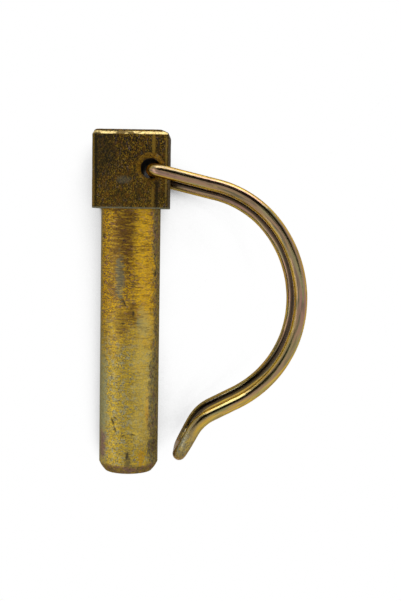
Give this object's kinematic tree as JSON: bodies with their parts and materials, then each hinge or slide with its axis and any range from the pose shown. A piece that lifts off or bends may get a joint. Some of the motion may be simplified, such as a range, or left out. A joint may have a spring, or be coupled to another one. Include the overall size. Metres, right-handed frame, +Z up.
{
  "type": "lynch pin",
  "caption": "Round locking pin with a square head and a sprung D-shaped wire bail hinged in the head, lying on its side.",
  "frame": {"origin": "on the surface it lies on, under the middle of the part's bounding box", "axes": "+Z up from the surface, +Y along the pin towards its head as seen from above, +X towards the bail"},
  "size_m": [0.0372, 0.058, 0.0235],
  "materials": {
    "plated_pin": "yellow chromated zinc on turned steel, dull, stained",
    "plated_wire": "yellow chromated zinc on drawn wire, glossy"
  },
  "bodies": {
    "pin": {"pin": "plated_pin"},
    "bail": {"wire_bail": "plated_wire"}
  },
  "joints": [
    {"name": "bail_swing", "type": "hinge", "parent": "pin", "child": "bail", "pos_m": [-0.00765, 0.02145, 0.0086], "axis": [-0.2333, 0.0163, 0.9723], "range_deg": [-2.5, 290]}
  ]
}
